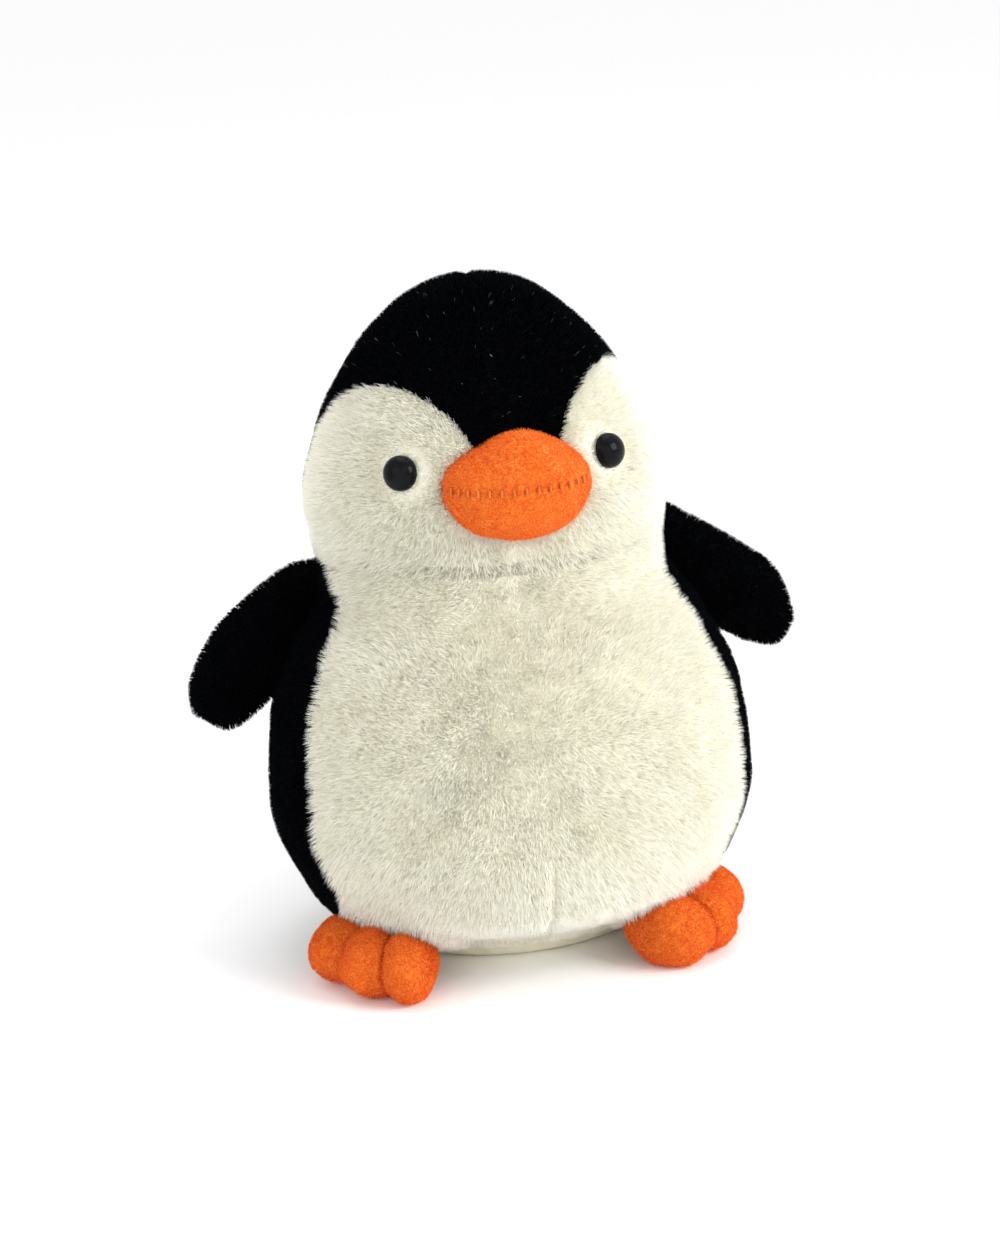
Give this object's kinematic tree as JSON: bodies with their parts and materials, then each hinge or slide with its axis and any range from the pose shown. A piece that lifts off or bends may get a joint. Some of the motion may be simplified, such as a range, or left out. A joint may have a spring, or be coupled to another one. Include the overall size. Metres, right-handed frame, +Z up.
{
  "type": "plush penguin",
  "caption": "Seated plush penguin, black and cream pile, stuffed orange beak and feet, safety eyes, sewn-on flippers that swing and feet that lift.",
  "frame": {"origin": "centre of the base on the floor, on the toy's left-right middle plane", "axes": "+Z up the toy's height, -Y the way the toy faces, +X to the toy's own left"},
  "size_m": [0.2358, 0.1658, 0.2496],
  "materials": {
    "black_plush": "matte",
    "cream_plush": "matte",
    "cream_cloth": "matte",
    "orange_velboa": "matte",
    "orange_thread": "matte",
    "fibrefill": "matte",
    "eye_plastic": "gloss",
    "washer_plastic": "satin"
  },
  "bodies": {
    "torso": {"crown_left_panel": "black_plush", "face_left_panel": "cream_plush", "belly_left_panel": "cream_plush", "back_left_panel": "black_plush", "crown_right_panel": "black_plush", "face_right_panel": "cream_plush", "belly_right_panel": "cream_plush", "back_right_panel": "black_plush", "base_panel": "cream_cloth", "body_stuffing": "fibrefill", "beak_upper_panel": "orange_velboa", "beak_lower_panel": "orange_velboa", "beak_stuffing": "fibrefill", "beak_seam_stitches": "orange_thread", "eye_left": "eye_plastic", "eye_washer_left": "washer_plastic", "eye_right": "eye_plastic", "eye_washer_right": "washer_plastic"},
    "flipper_left": {"flipper_left_front_panel": "black_plush", "flipper_left_rear_panel": "black_plush", "flipper_left_stuffing": "fibrefill"},
    "flipper_right": {"flipper_right_front_panel": "black_plush", "flipper_right_rear_panel": "black_plush", "flipper_right_stuffing": "fibrefill"},
    "foot_left": {"foot_left_top_panel": "orange_velboa", "foot_left_sole_panel": "orange_velboa", "foot_left_stuffing": "fibrefill", "foot_left_toe_stitches": "orange_thread"},
    "foot_right": {"foot_right_top_panel": "orange_velboa", "foot_right_sole_panel": "orange_velboa", "foot_right_stuffing": "fibrefill", "foot_right_toe_stitches": "orange_thread"}
  },
  "joints": [
    {"name": "flipper_left_swing", "type": "hinge", "parent": "torso", "child": "flipper_left", "pos_m": [0.079, 0.002, 0.125], "axis": [0.4195, 0, -0.9078], "range_deg": [-30, 50], "stiffness_Nm_per_rad": 0.02},
    {"name": "flipper_right_swing", "type": "hinge", "parent": "torso", "child": "flipper_right", "pos_m": [-0.079, 0.002, 0.125], "axis": [0.289, 0, 0.9573], "range_deg": [-30, 50], "stiffness_Nm_per_rad": 0.02},
    {"name": "foot_left_lift", "type": "hinge", "parent": "torso", "child": "foot_left", "pos_m": [0.06057, -0.05453, 0.0236], "axis": [-0.6691, -0.7431, 0], "range_deg": [0, 28], "stiffness_Nm_per_rad": 0.03},
    {"name": "foot_right_lift", "type": "hinge", "parent": "torso", "child": "foot_right", "pos_m": [-0.06057, -0.05453, 0.0236], "axis": [-0.6691, 0.7431, 0], "range_deg": [0, 28], "stiffness_Nm_per_rad": 0.03}
  ]
}
